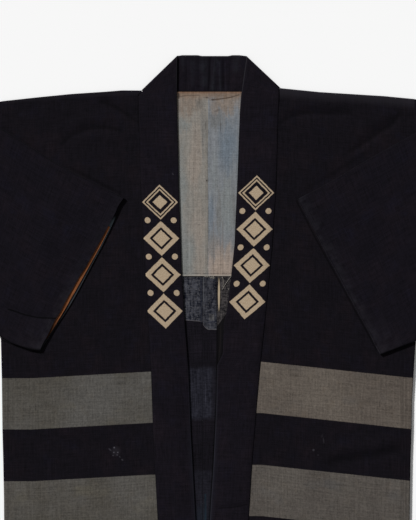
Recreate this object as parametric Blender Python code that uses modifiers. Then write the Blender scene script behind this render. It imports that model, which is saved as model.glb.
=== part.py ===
"""A happi coat of indigo cotton, laid flat with its front up and its sleeves folded forward.

Metres, +Z up. The coat lies on z = 0 with its collar towards +Y and its hem towards -Y, centred on the Z axis.
Tables are in millimetres. In them x is measured outward from the coat's centre line, so each side of the coat
has its own positive numbers, and y is measured from the middle of the coat's length.
"""

import math

import bmesh
import bpy
from mathutils import Vector

MM = 0.001

# Cloth and the levels it lies at, in millimetres.
WALL = 1.0  # body, sleeves, lining and facing
BAND_WALL = 2.0  # the collar is doubled
SEAM_GAP = 0.4  # between pieces that are sewn together
BACK_LEVEL = 0.5  # middle of the lower layer's wall
LINING_LEVEL = 1.8
FRONT_LEVEL = 3.2  # middle of the upper layer's wall
BAND_BACK_LEVEL = 1.0
BAND_FRONT_LEVEL = 3.7
SLEEVE_FOLD_LEVEL = 4.0  # height of the axis that a sleeve is folded forward about
FOLD_STEPS = 6  # steps in each turned edge

# Main sizes.
HALF_LENGTH = 470.0
ARMHOLE_BOTTOM_Y = 101.0
BACK_SEAM_X = -8.0  # the centre back seam lies a little to the left, across the coat
LINING_SEAM_X = 0.0
LINING_HEM_Y = 123.0
LINING_TUCK = 16.0  # how far the lining runs on beneath the collar band
NECK_SEAM_Y = 412.4
NECK_FLAT_X = 50.0  # the neck seam is level inside this

PANEL_COLUMNS = 6
SLEEVE_STATIONS = 8
SLEEVE_ROOT_STATIONS = 2
SLEEVE_ACROSS = 9

# Each band row is (y, x of the band's free edge, x of its seam to the front).
# neck_corner is where the collar's diagonal fold meets the seam, and fold_top where it meets the free edge,
# on the back of the neck and on the front. Shoulder rows are (x, y) and side rows (y, x).
# A sleeve's edges run from the fold to the cuff. cuff_bow rows are (share of the way down, bow) of the cuff's upper
# wall and cuff_rim rows those of the wall beneath, which lies further in where the cuff gapes.
LEFT = {
    "name": "left",
    "sign": -1,
    "band": [
        (405, 48.3, 108.6),
        (316, 46.1, 106.3),
        (266, 45.3, 105.2),
        (123, 40.4, 97.1),
        (38, 35.0, 92.4),
        (-27, 29.9, 88.7),
        (-122, 26.4, 85.6),
        (-260, 18.8, 78.3),
        (-470, 9.5, 69.0),
    ],
    "neck_corner": (102.2, 413.2),
    "fold_top_back": (44.3, 469.2),
    "fold_top_front": (47.8, 465.8),
    "shoulder": [(105.0, 414.4), (135, 414.6), (158, 412.7), (215, 408.9), (270, 403.4), (325, 397.4)],
    "side": [(29, 325.0), (-37, 323.4), (-119, 322.4), (-166, 321.2), (-229, 320.0), (-470, 318.6)],
    "sleeve_fold": ((381, 388), (442, 90)),
    "sleeve_top": [(381, 388), (326, 356), (230, 295.5), (130.5, 245.5)],
    "sleeve_bottom": [(442, 90), (326, 29), (306, 17), (276, 6), (261, 4)],
    "cuff_bow": [
        (0, 1.0),
        (0.05, 2.8),
        (0.1, 1.6),
        (0.17, 1.3),
        (0.3, 1.2),
        (0.45, 1.8),
        (0.52, 3.4),
        (0.7, 4.1),
        (0.75, 3.2),
        (0.82, 4.8),
        (0.9, 3.4),
        (0.95, 4.0),
        (1, 3.0),
    ],
    "cuff_rim": [
        (0, 1.0),
        (0.05, -0.6),
        (0.1, -1.6),
        (0.2, -3.6),
        (0.3, -4.7),
        (0.42, -4.9),
        (0.6, -5.2),
        (0.7, -4.7),
        (0.75, -3.7),
        (0.84, -1.3),
        (0.9, -0.3),
        (0.95, 1.3),
        (1, 3.0),
    ],
}
RIGHT = {
    "name": "right",
    "sign": 1,
    "band": [
        (408, 52.5, 112.3),
        (377, 50.2, 110.7),
        (277, 46.7, 108.4),
        (172, 42.0, 101.9),
        (123, 36.8, 97.1),
        (67, 29.7, 91.7),
        (49, 25.5, 90.0),
        (1, 23.7, 84.7),
        (-17, 15.0, 82.9),
        (-78, 13.8, 77.4),
        (-166, 9.7, 70.3),
        (-258, 3.8, 64.6),
        (-470, -6.0, 52.0),
    ],
    "neck_corner": (111.9, 417.4),
    "fold_top_back": (57.6, 469.0),
    "fold_top_front": (60.7, 465.0),
    "shoulder": [(114.4, 418.2), (176, 411.9), (277, 405.6), (325, 401.0)],
    "side": [(19, 326.5), (-25, 323.7), (-72, 320.9), (-119, 320.2), (-166, 318.6), (-229, 317.6), (-470, 313.8)],
    "sleeve_fold": ((384, 384), (442, 90)),
    "sleeve_top": [(384, 384), (327, 348), (254, 307.5), (188, 268.5), (141.5, 244)],
    "sleeve_bottom": [(442, 90), (327, 21), (272.5, 0.5)],
    "cuff_bow": [(0, -0.5), (0.1, -1.2), (0.2, -0.9), (0.35, -1.6), (0.7, -1.6), (0.85, -1.0), (0.95, -2.1), (1, -2)],
    "cuff_rim": [(0, -0.5), (0.1, -1.2), (0.2, -0.9), (0.35, -1.6), (0.7, -1.6), (0.85, -1.0), (0.95, -2.1), (1, -2)],
}

# The facing inside the left cuff.
FACING_WIDTH = 24.0
FACING_HEM = (1.7, 3.2)  # width of the cuff's own turned edge beside it, at the cuff's top and bottom
FACING_LEVEL = 1.9  # depth inside the sleeve, between its two walls
FACING_ENDS = (0.185, 0.92)  # shares of the way down the cuff
FACING_STEPS = 12


def mix(a, b, share):
    return a + (b - a) * share


def at(table, key):
    """The value beside key in a table of (key, value) rows, straight between rows and level past the ends."""
    rows = sorted(table)
    if key <= rows[0][0]:
        return rows[0][1]
    for (k0, v0), (k1, v1) in zip(rows, rows[1:]):
        if key <= k1:
            return mix(v0, v1, (key - k0) / (k1 - k0))
    return rows[-1][1]


def along(points, share):
    """The point at a share of the length of a line through points."""
    points = [Vector(p) for p in points]
    lengths = [(b - a).length for a, b in zip(points, points[1:])]
    left = share * sum(lengths)
    for a, b, length in zip(points, points[1:], lengths):
        if left <= length:
            return a.lerp(b, left / length)
        left -= length
    return points[-1]


def shares(count):
    """Even shares from 0 to 1, in count steps."""
    return [i / count for i in range(count + 1)]


def material(name, colour, roughness):
    made = bpy.data.materials.new(name)
    made.use_nodes = True
    shader = made.node_tree.nodes["Principled BSDF"]
    shader.inputs["Base Color"].default_value = (*colour, 1)
    shader.inputs["Roughness"].default_value = roughness
    shader.inputs["Metallic"].default_value = 0
    return made


def add_patch(bm, rows):
    """Adds a surface through rows of points, in millimetres. Patches that share an edge are welded later."""
    made = [[bm.verts.new(Vector(p) * MM) for p in row] for row in rows]
    for near, far in zip(made, made[1:]):
        for a, b, c, d in zip(near, near[1:], far[1:], far):
            bm.faces.new((a, b, c, d))


def cloth(name, patches, wall, look):
    """An object of cloth: patches welded into one open surface, and given its wall."""
    bm = bmesh.new()
    for rows in patches:
        add_patch(bm, rows)
    bmesh.ops.remove_doubles(bm, verts=bm.verts, dist=0.00001)
    bmesh.ops.recalc_face_normals(bm, faces=bm.faces)
    mesh = bpy.data.meshes.new(name)
    bm.to_mesh(mesh)
    bm.free()
    mesh.materials.append(look)
    made = bpy.data.objects.new(name, mesh)
    solid = made.modifiers.new("wall", "SOLIDIFY")
    solid.thickness = wall * MM
    solid.offset = 0
    solid.use_even_offset = True
    return made


def turn(share, near, far):
    """(reach, height) on a half circle from level near up to level far, at a share of the way round."""
    radius = (far - near) / 2
    angle = math.pi * share
    return radius * math.sin(angle), (near + far) / 2 - radius * math.cos(angle)


def band_edge(side, y, column):
    """Outward x of the band's free edge (column 1) or of its seam (column 2) at y."""
    return at([(row[0], row[column]) for row in side["band"]], y)


def neck_y(side, x):
    """y of the neck seam, which rises from its level middle to the corner beside the shoulder."""
    corner_x, corner_y = side["neck_corner"]
    return at([(NECK_FLAT_X, NECK_SEAM_Y), (corner_x, corner_y - 0.2)], x)


def body(side, look):
    """One length of cloth: the back, over the shoulder, and the front, closed down the side below the armhole."""
    sign = side["sign"]
    edge = (FRONT_LEVEL - BACK_LEVEL + WALL) / 2  # the outer radius of a turned edge
    neck_x = side["shoulder"][0][0]
    seam_x = sign * BACK_SEAM_X + SEAM_GAP / 2
    heights = sorted({row[0] for row in side["band"]} | {ARMHOLE_BOTTOM_Y})
    heights.append(at(side["shoulder"], neck_x) - edge)

    def side_x(y):
        return at(side["side"], y) - edge

    def lifted(y, share):
        """y, stretched above the armhole so that the top row follows the shoulder."""
        if y <= ARMHOLE_BOTTOM_Y:
            return y
        top = at(side["shoulder"], mix(neck_x, side_x(y), share)) - edge
        return mix(ARMHOLE_BOTTOM_Y, top, (y - ARMHOLE_BOTTOM_Y) / (heights[-1] - ARMHOLE_BOTTOM_Y))

    def row(y, inner_x, level):
        columns = shares(PANEL_COLUMNS)
        return [(sign * mix(inner_x, side_x(y), s), lifted(y, s), level) for s in columns]

    def front_inner(y):
        return neck_x if y == heights[-1] else band_edge(side, y, 2) + SEAM_GAP

    back = [row(y, neck_x, BACK_LEVEL) for y in heights]
    front = [row(y, front_inner(y), FRONT_LEVEL) for y in heights]
    turns = [turn(s, BACK_LEVEL, FRONT_LEVEL) for s in shares(FOLD_STEPS)]
    shoulder = [[(x, y + reach, z) for x, y, _ in back[-1]] for reach, z in turns]
    below = [y for y in heights if y <= ARMHOLE_BOTTOM_Y]
    side_turn = [[(sign * (side_x(y) + reach), y, z) for reach, z in turns] for y in below]

    def neck_row(y):
        columns = [seam_x, NECK_FLAT_X, neck_x]
        if y < heights[-1]:
            return [(sign * x, y, BACK_LEVEL) for x in columns]
        tops = [neck_y(side, x) - SEAM_GAP for x in columns[:-1]] + [y]
        return [(sign * x, top, BACK_LEVEL) for x, top in zip(columns, tops)]

    neck = [neck_row(y) for y in heights]
    return cloth("body_" + side["name"], [back, neck, shoulder, front, side_turn], WALL, look)


def band_rows(side):
    """Rows across the collar band, from the hem up one front and round the fold to the back of the neck."""
    sign = side["sign"]
    rows = [
        [(sign * free, y, BAND_FRONT_LEVEL), (sign * seam, y, BAND_FRONT_LEVEL)]
        for y, free, seam in reversed(side["band"])
    ]
    corner = Vector(side["neck_corner"])
    back_top = Vector(side["fold_top_back"])
    front_top = Vector(side["fold_top_front"])
    line = (corner - back_top).normalized()
    outward = Vector((-line.y, line.x))
    if outward.y < 0:
        outward = -outward
    for share in reversed(shares(FOLD_STEPS)):
        reach, level = turn(share, BAND_BACK_LEVEL, BAND_FRONT_LEVEL)
        ends = [back_top.lerp(front_top, share) + outward * reach, corner + outward * reach]
        rows.append([(sign * p.x, p.y, level) for p in ends])
    return rows


def collar(look):
    """The whole band: up the left front, round the back of the neck, and down the right front."""
    neck = [
        [(x, HALF_LENGTH, BAND_BACK_LEVEL), (x, NECK_SEAM_Y, BAND_BACK_LEVEL)]
        for x in (-NECK_FLAT_X + 10, -12, 18, NECK_FLAT_X)
    ]
    rows = band_rows(LEFT) + neck + band_rows(RIGHT)[::-1]
    return cloth("collar", [rows], BAND_WALL, look)


def sleeve_lines(side):
    """(top, bottom, share of the fold's turn, share of the way from fold to cuff) for each station."""
    armhole_x = at(side["side"], HALF_LENGTH) - (FRONT_LEVEL - BACK_LEVEL + WALL) / 2 + SEAM_GAP
    armhole = (
        Vector((armhole_x, side["shoulder"][-1][1])),
        Vector((armhole_x, ARMHOLE_BOTTOM_Y + SEAM_GAP)),
    )
    fold = [Vector(p) for p in side["sleeve_fold"]]
    lines = []
    for share in shares(SLEEVE_ROOT_STATIONS)[:-1]:
        lines.append((armhole[0].lerp(fold[0], share), armhole[1].lerp(fold[1], share), 0, 0))
    for share in shares(FOLD_STEPS):
        lines.append((fold[0], fold[1], share, 0))
    for share in shares(SLEEVE_STATIONS)[1:]:
        lines.append((along(side["sleeve_top"], share), along(side["sleeve_bottom"], share), 1, share))
    return lines


def sleeve_point(side, line, down, depth):
    """A point of the folded sleeve: down is the distance from its top edge and depth that from its outer face.

    The outer face is the sleeve's back half, which lies lowest at the armhole and uppermost past the fold.
    """
    top, bottom, turned, out = line
    across = (bottom - top).normalized()
    outward = Vector((-across.y, across.x))
    if outward.x < 0:
        outward = -outward
    radius = SLEEVE_FOLD_LEVEL - depth
    angle = math.pi * turned
    spot = top + across * down + outward * radius * math.sin(angle)
    share = down / (bottom - top).length
    beneath = depth > (BACK_LEVEL + FRONT_LEVEL) / 2
    spot += outward * at(side["cuff_rim" if beneath else "cuff_bow"], share) * out**3
    return (side["sign"] * spot.x, spot.y, SLEEVE_FOLD_LEVEL - radius * math.cos(angle))


def sleeve(side, look):
    """A flat tube from the armhole, folded forward about a slanting line and lying back over the front."""
    edge = (FRONT_LEVEL - BACK_LEVEL + WALL) / 2
    rows = []
    for line in sleeve_lines(side):
        length = (line[1] - line[0]).length
        walls = [mix(edge, length - edge, s) for s in shares(SLEEVE_ACROSS)]
        turns = [turn(s, BACK_LEVEL, FRONT_LEVEL) for s in shares(FOLD_STEPS)][1:-1]
        ring = [(down, BACK_LEVEL) for down in walls]
        ring += [(length - edge + reach, depth) for reach, depth in turns]
        ring += [(down, FRONT_LEVEL) for down in reversed(walls)]
        ring += [(edge - reach, depth) for reach, depth in reversed(turns)]
        ring.append(ring[0])
        rows.append([sleeve_point(side, line, down, depth) for down, depth in ring])
    return cloth("sleeve_" + side["name"], [rows], WALL, look)


def cuff_facing(side, look):
    """A strip inside the gaping cuff, along the half of the sleeve that lies on the front."""
    cuff = sleeve_lines(side)[-1]
    top, bottom, _, _ = cuff
    length = (bottom - top).length
    inward = Vector((-(bottom - top).y, (bottom - top).x)).normalized()
    if inward.x < 0:
        inward = -inward
    rows = []
    for s in shares(FACING_STEPS):
        share = mix(*FACING_ENDS, s)
        edge = top.lerp(bottom, share) + inward * (at(side["cuff_rim"], share) + mix(*FACING_HEM, share))
        level = 2 * SLEEVE_FOLD_LEVEL - FACING_LEVEL
        ends = [edge, edge + inward * FACING_WIDTH]
        rows.append([(side["sign"] * p.x, p.y, level) for p in ends])
    return cloth("cuff_facing", [rows], WALL, look)


def lining(side, look):
    """Half of the light lining inside the back, from the neck seam to its hem."""
    sign = side["sign"]
    seam_x = sign * LINING_SEAM_X + SEAM_GAP / 2
    heights = [LINING_HEM_Y, 172, 277, 377, NECK_SEAM_Y - SEAM_GAP]
    rows = []
    for y in heights:
        outer = band_edge(side, y, 1) + LINING_TUCK
        rows.append([(sign * mix(seam_x, outer, s), y, LINING_LEVEL) for s in shares(2)])
    return cloth("lining_" + side["name"], [rows], WALL, look)


def build():
    for old in list(bpy.data.objects):
        bpy.data.objects.remove(old, do_unlink=True)
    parts = bpy.data.collections.new("happi_coat")
    bpy.context.scene.collection.children.link(parts)
    indigo = material("indigo_cotton", (0.0075, 0.0065, 0.009), 0.9)
    light = material("lining_cotton", (0.22, 0.20, 0.18), 0.9)
    brown = material("facing_cotton", (0.25, 0.08, 0.02), 0.9)
    made = [collar(indigo), cuff_facing(LEFT, brown)]
    for side in (LEFT, RIGHT):
        made += [body(side, indigo), sleeve(side, indigo), lining(side, light)]
    for piece in made:
        parts.objects.link(piece)


build()
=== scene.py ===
"""The looks of a happi coat: indigo cotton laid flat, front up, with its sleeves folded forward.

Cloth is built as thin shells on the forms of the CAD solids, from the same tables. Sizes are in millimetres
unless they say metres. y is measured from the middle of the coat's length, and x from its centre line:
outward where one side is worked out by itself, and towards +X elsewhere.
Each shell has a UV map "cut", in metres on the flat cloth, which the weave, stripes and printed motifs
follow, and a map "edge", which holds the distance to the cloth's nearest finished edges. In the materials,
lengths are in metres, and a noise call gives its waves a metre across and down, its seed, detail and
roughness.
"""

import math

import bmesh
import bpy
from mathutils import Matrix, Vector, noise


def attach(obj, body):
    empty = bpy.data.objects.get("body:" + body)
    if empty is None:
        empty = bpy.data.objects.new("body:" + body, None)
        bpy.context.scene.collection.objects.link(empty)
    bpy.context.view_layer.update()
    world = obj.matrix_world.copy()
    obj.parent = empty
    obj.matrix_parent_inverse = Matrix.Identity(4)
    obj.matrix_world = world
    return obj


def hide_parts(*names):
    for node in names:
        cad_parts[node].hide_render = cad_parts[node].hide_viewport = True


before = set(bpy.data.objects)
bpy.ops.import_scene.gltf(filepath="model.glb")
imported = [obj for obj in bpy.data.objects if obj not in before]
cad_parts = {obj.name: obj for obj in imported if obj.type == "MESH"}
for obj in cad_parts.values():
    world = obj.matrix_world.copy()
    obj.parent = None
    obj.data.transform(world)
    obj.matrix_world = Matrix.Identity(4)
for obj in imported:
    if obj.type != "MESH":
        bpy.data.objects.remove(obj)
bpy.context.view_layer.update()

MM = 0.001

# ---------------------------------------------------------------- the coat's sizes, as in the CAD
WALL = 1.0
BAND_WALL = 2.0
TUCK_WALL = 0.5
SEAM_GAP = 0.04  # between pieces that are sewn edge to edge
BAND_GAP = 0.3  # between the band and the front, where the band stands higher
BACK_LEVEL = 0.5
LINING_LEVEL = 1.8
FRONT_LEVEL = 3.2
BAND_BACK_LEVEL = 1.0
BAND_FRONT_LEVEL = 3.7
SLEEVE_FOLD_LEVEL = 4.0
TURN_REACH = (FRONT_LEVEL - BACK_LEVEL + WALL) / 2  # how far cloth reaches where it turns from back to front
HALF_LENGTH = 470.0
HALF_WIDTH = 320
ARMHOLE_BOTTOM_Y = 101.0
BACK_SEAM_X = -8.0
LINING_HEM_Y = 123.0
LINING_TUCK = 16.0  # how far the lining goes under the band
LINING_STILL = (5, 12, 10)  # above its hem, beneath the band's edge, and over what width it starts to lift
LINING_DEEPEST = -0.25
NECK_SEAM_Y = 412.4
NECK_FLAT_X = 50.0
NECK_CORNER_DROP = 0.2  # how far below the band's corner the back's neck edge starts

# For each side of the coat. band: (y, x of the free edge, x of the seam); shoulder: (x, y); side: (y, x);
# cuff_bow and cuff_rim: (share down the cuff, distance past a straight cuff) of its upper and lower layer;
# climb: (x, how far the stripes climb from the side to the band).
RIGHT_CUFF = [
    (0, -0.5), (0.1, -1.2), (0.2, -0.9), (0.35, -1.6), (0.7, -1.6), (0.85, -1), (0.95, -2.1), (1, -2),
]
LEFT = {
    "name": "left",
    "sign": -1,
    "band": [
        (405, 48.3, 108.6), (316, 46.1, 106.3), (266, 45.3, 105.2), (123, 40.4, 97.1), (38, 35, 92.4),
        (-27, 29.9, 88.7), (-122, 26.4, 85.6), (-260, 18.8, 78.3), (-470, 9.5, 69),
    ],
    "neck_corner": (102.2, 413.2),
    "fold_top_back": (44.3, 469.2),
    "fold_top_front": (47.8, 465.8),
    "shoulder": [(103.5, 414.4), (135, 414.6), (158, 412.7), (215, 408.9), (270, 403.4), (325, 397.4)],
    "side": [(29, 325), (-37, 323.4), (-119, 322.4), (-166, 321.2), (-229, 320), (-470, 318.6)],
    "sleeve_fold": ((381, 388), (442, 90)),
    "sleeve_top": [(381, 388), (326, 356), (230, 295.5), (130.5, 245.5)],
    "sleeve_bottom": [(442, 90), (326, 29), (306, 17), (276, 6), (261, 4)],
    "cuff_bow": [
        (0, 1), (0.05, 2.8), (0.1, 1.6), (0.17, 1.3), (0.3, 1.2), (0.45, 1.8), (0.52, 3.4), (0.7, 4.1),
        (0.75, 3.2), (0.82, 4.8), (0.9, 3.4), (0.95, 4), (1, 3),
    ],
    "cuff_rim": [
        (0, 1), (0.05, -0.6), (0.1, -1.6), (0.2, -3.6), (0.3, -4.7), (0.42, -4.9), (0.6, -5.2),
        (0.7, -4.7), (0.75, -3.7), (0.84, -1.3), (0.9, -0.3), (0.95, 1.3), (1, 3),
    ],
    "climb": [(275, 0), (89, 10.4)],
}
RIGHT = {
    "name": "right",
    "sign": 1,
    "band": [
        (408, 52.5, 112.3), (377, 50.2, 110.7), (277, 46.7, 108.4), (172, 42, 101.9), (123, 36.8, 97.1),
        (67, 29.7, 91.7), (49, 25.5, 90), (1, 23.7, 84.7), (-17, 15, 82.9), (-78, 13.8, 77.4),
        (-166, 9.7, 70.3), (-258, 3.8, 64.6), (-470, -6, 52),
    ],
    "neck_corner": (111.9, 417.4),
    "fold_top_back": (57.6, 469),
    "fold_top_front": (60.7, 465),
    "shoulder": [(113, 418.2), (176, 411.9), (277, 405.6), (325, 401)],
    "side": [
        (19, 326.5), (-25, 323.7), (-72, 320.9), (-119, 320.2), (-166, 318.6), (-229, 317.6), (-470, 313.8),
    ],
    "sleeve_fold": ((384, 384), (442, 90)),
    "sleeve_top": [(384, 384), (327, 348), (254, 307.5), (188, 268.5), (141.5, 244)],
    "sleeve_bottom": [(442, 90), (327, 21), (272.5, 0.5)],
    "cuff_bow": RIGHT_CUFF,
    "cuff_rim": RIGHT_CUFF,
    "climb": [(317, 0.8), (85, 25.8)],
}

FACING_WIDTH = 24.0
FACING_HEM = [(0, 1.6), (0.17, 1.7), (0.35, 2.2), (0.5, 3), (0.66, 3.8), (0.75, 3.2), (0.82, 2), (1, 1.6)]
FACING_LEVEL = 1.9
FACING_ENDS = (0.185, 0.92)  # shares down the cuff
FACING_FAR = 50  # its raw ends count as far from any finished edge

# How far the band's free edges, and the right one's seam, sink towards what lies beneath: (y, millimetres).
LEFT_SINK = [(405, 0), (380, 0.3), (123, 0.3), (108, 1.1), (40, 1.3), (-90, 1.55), (-470, 1.55)]
RIGHT_SINK = [(-22, 0), (-60, 1.2), (-470, 1.3)]
SEAM_SINK = [(400, 0), (370, 0.85)]
SINK_REACH = (26, 9)  # across the band, from the free edge and from the seam

# The small fold inside the back: (y, x of its edge) and (y, distance of its crease from that edge).
TUCK_LEFT = [(122.4, 15), (60, 15), (30, 14.6), (-10, 13.4), (-24, 13)]
TUCK_CREASE = [(123, 5), (60, 5), (10, 4), (-24, 3)]
TUCK_LEVEL = 1.42
TUCK_UNDER_BAND, TUCK_LEAST = 9, 6  # how far it goes under the band, and its least width
# Heights of its rim, of the groove along its crease and of the rise past that, and two of their widths.
TUCK_RIM, TUCK_GROOVE, TUCK_RISE, TUCK_RIM_WIDTH, TUCK_RISE_WIDTH = 0.25, 0.3, 0.25, 1.2, 4

# Fineness of the shells: steps and counts.
ROW_STEP = 5.0
FINE_STEP = 3.0
NECK_STEP = 6.0
NECK_BAND_STEP = 1.0
PANEL_COLUMNS = 48
FOLD_STEPS = 10
SLEEVE_STATIONS = 50
SLEEVE_ROOT_STATIONS = 8
SLEEVE_ACROSS = 56
BAND_ACROSS = 16
BAND_ROUND = 6  # round each edge, and from the front's top to the fold
LINING_ACROSS = 30
FACING_STEPS = (48, 6)
TUCK_ACROSS = 24
SHARP_ANGLE = math.radians(50)
WELD_METRES = 0.00001

# Stripes on the body, in millimetres along the cloth, and how much they climb towards the back's middle.
STRIPES = [(-117.8, -37.4), (-279.6, -199.2)]
BACK_CLIMB = [(0, 16.5), (HALF_WIDTH, 0)]
LOW_STRIPE_SHARE = 0.8309  # the lower stripe lies below this share of a panel's length

# How near an edge the cloth starts to lie still, in millimetres, and its ripples: (height, wave, seed).
SIDE_STILL, SHOULDER_STILL, HEM_STILL, BAND_STILL, SLEEVE_STILL = 25, 16, 10, 9, 12
BAND_LIFT = 0.15  # the share of its lift that the front keeps right beside the band
BODY_RIPPLE = (0.45, 85, 3)
SLEEVE_RIPPLE = (0.5, 70, 5)
BAND_RIPPLE = (0.35, 60, 9)

# Soft folds: (points in pixels, width and height in millimetres); a negative height is a trough.
FRONT_FOLDS = [
    ([(98, 100), (112, 105), (124, 112), (139, 123)], 5.5, -1.7),
    ([(108, 96), (124, 102), (139, 110)], 6, 1),
    ([(60, 146), (72, 134), (86, 128), (104, 127), (124, 131)], 6, -1.1),
    ([(68, 126), (90, 119), (114, 118)], 8, 1), ([(76, 141), (96, 136), (122, 139)], 7, 0.7),
    ([(278, 124), (292, 115), (306, 112.5), (330, 113), (354, 112)], 6, -1.7),
    ([(284, 107), (312, 104), (347, 105)], 8, 1),
    ([(348, 153), (368, 140), (382, 130), (392, 124), (400, 112)], 6, -1.7),
    ([(350, 132), (376, 121), (396, 106)], 8, 0.9),
    ([(324, 463), (352, 458.5), (380, 454), (412, 448)], 6, -1.8),
    ([(328, 451), (360, 448), (404, 438)], 8, 1.2), ([(60, 450), (100, 443), (142, 446)], 12, -0.8),
    ([(196, 560), (240, 566), (330, 552)], 12, -1.4), ([(200, 548), (250, 553), (320, 541)], 12, 1),
    ([(30, 566), (90, 572), (150, 560)], 12, 1.4), ([(20, 610), (80, 604), (150, 612)], 10, -1.2),
    ([(262, 612), (330, 618), (398, 606)], 10, 1.3),
]
SLEEVE_FOLDS = [
    ([(-12, 304), (9, 309.5), (25.5, 314), (38, 317), (57, 318.4)], 3.2, -1.4),
    ([(-12, 299), (9, 304), (26, 308), (54, 312)], 5, 0.8), ([(60, 180), (52, 230), (30, 285)], 16, 0.8),
    ([(95, 200), (80, 250), (60, 290)], 12, -0.7), ([(330, 200), (352, 250), (382, 300)], 15, 0.8),
    ([(318, 204), (336, 248), (362, 290)], 8, -0.7), ([(370, 180), (384, 230), (408, 260)], 16, -0.7),
]
BAND_FOLDS = [
    ([(210.5, 50), (210, 74), (208.4, 98)], 1.9, -0.9), ([(215.5, 50), (213.5, 84), (212.5, 98)], 2.8, 0.7),
    ([(223.5, 58), (224, 76), (224.4, 98)], 1.7, -0.8), ([(220, 60), (220.8, 98)], 2.2, 0.6),
    ([(186.5, 56), (186.8, 98)], 2.6, -0.5), ([(198.5, 56), (198.6, 98)], 2.4, -0.45),
    ([(203.5, 58), (204, 98)], 2.6, 0.5), ([(192.6, 62), (192.6, 98)], 2.2, 0.35),
    ([(236, 56), (235, 98)], 4, 0.4), ([(230.5, 56), (230, 98)], 2.6, -0.35),
    ([(248, 108), (262, 109.5), (276, 106)], 3, -0.6), ([(246, 112), (262, 114)], 3, 0.5),
    ([(218, 508.5), (232, 507.5), (248, 504.5)], 3, -0.9),
    ([(220, 502.5), (236, 501), (251, 498)], 4, 0.6),
]
LINING_FOLDS = [
    ([(207.4, 99), (208.2, 180), (209.2, 225), (207.8, 276)], 1.2, -0.35),
    ([(204.5, 110), (205.5, 200), (206, 270)], 2.4, 0.25), ([(213.6, 232), (214, 274)], 1.6, -0.25),
    ([(222.8, 225), (222.5, 274)], 1.6, -0.25), ([(218.5, 228), (218.5, 274)], 2.4, 0.2),
    ([(213, 99.5), (226, 98), (239, 95)], 1.2, -0.35), ([(176, 97), (186, 95.4), (203, 95)], 1.1, -0.25),
    ([(192, 120), (191, 200)], 3.5, 0.2), ([(187, 200), (188, 270)], 2.5, -0.2),
]
BACK_FOLDS = [
    ([(202.6, 276), (202.6, 420), (202.6, 660)], 1.2, -0.25), ([(199.5, 276), (199.5, 660)], 2.2, 0.25),
]

# ---------------------------------------------------------------- the photograph's frame
PIXEL_MM = 1.57  # one pixel of the 416 x 520 frame, on the coat
FRAME_PX = (416, 520)
CENTRE_PX = 207.7  # the pixel column of the coat's centre line
COLLAR_TOP_PX = 55.0  # the pixel row of the collar's top edge


def photo(px, py):
    """A pixel of the photograph as (x, y) on the coat, in millimetres."""
    return (px - CENTRE_PX) * PIXEL_MM, HALF_LENGTH - (py - COLLAR_TOP_PX) * PIXEL_MM


def x_of(px):
    """x of a pixel column, in metres."""
    return photo(px, 0)[0] * MM


def y_of(py):
    """y of a pixel row, in metres."""
    return photo(0, py)[1] * MM


# ---------------------------------------------------------------- small helpers
def mix(a, b, share):
    return a + (b - a) * share


def at(table, key):
    """The value beside key in a table of (key, value) rows, straight between rows and level past the ends."""
    rows = sorted(table)
    if key <= rows[0][0]:
        return rows[0][1]
    for (k0, v0), (k1, v1) in zip(rows, rows[1:]):
        if key <= k1:
            return mix(v0, v1, (key - k0) / (k1 - k0))
    return rows[-1][1]


def along(points, share):
    """The point at a share of the length of a line through points."""
    points = [Vector(p) for p in points]
    lengths = [(b - a).length for a, b in zip(points, points[1:])]
    left = share * sum(lengths)
    for a, b, length in zip(points, points[1:], lengths):
        if left <= length:
            return a.lerp(b, left / length)
        left -= length
    return points[-1]


def shares(count):
    return [i / count for i in range(count + 1)]


def grid(ys, count, spot):
    """Rows of spot(y, share) at even shares across."""
    return [[spot(y, share) for share in shares(count)] for y in ys]


def finer(values, step):
    """Sorted values with even steps of at most step put between them."""
    values = sorted(values)
    found = [values[0]]
    for low, high in zip(values, values[1:]):
        count = max(1, math.ceil((high - low) / step))
        found += [mix(low, high, i / count) for i in range(1, count + 1)]
    return found


def smooth_step(x):
    x = min(1, max(0, x))
    return x * x * (3 - 2 * x)


def square_to(a, b, side):
    """A unit vector square to the line from a to b, on the given side of it."""
    step = (b - a).normalized()
    out = Vector((-step.y, step.x))
    return -out if out.dot(side) < 0 else out


def fold_lines(folds):
    """Folds with their points in millimetres on the coat."""
    return [([Vector(photo(*p)) for p in points], width, height) for points, width, height in folds]


FADE_SHARE, FADE_START = 0.22, 0.08  # the share of a fold's length over which it fades, and where it starts
FOLD_REACH = 3  # a fold is felt this many widths away


def relief(lines, x, y):
    """Height in millimetres that soft folds give at (x, y). Each fades out towards its ends."""
    here = Vector((x, y))
    total = 0.0
    for points, width, height in lines:
        nearest, place, run = math.inf, 0, 0.0
        for a, b in zip(points, points[1:]):
            step = b - a
            share = min(1, max(0, (here - a).dot(step) / step.length_squared))
            distance = (here - a - step * share).length
            if distance < nearest:
                nearest, place = distance, run + step.length * share
            run += step.length
        if nearest < FOLD_REACH * width:
            fade = smooth_step(min(place, run - place) / (FADE_SHARE * run) + FADE_START)
            total += height * math.exp(-((nearest / width) ** 2)) * fade
    return total


def ripple(x, y, shape, shift=0):
    """Gentle unevenness of cloth that lies flat, in millimetres."""
    height, wave, seed = shape
    return height * noise.noise(Vector((x / wave, y / wave, seed + shift)))


def turn(share, near, far):
    """(reach, height) on a half circle from level near up to level far, at a share of the way round."""
    radius = (far - near) / 2
    angle = math.pi * share
    return radius * math.sin(angle), (near + far) / 2 - radius * math.cos(angle)


TURNS = [turn(s, BACK_LEVEL, FRONT_LEVEL) for s in shares(FOLD_STEPS)]


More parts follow.
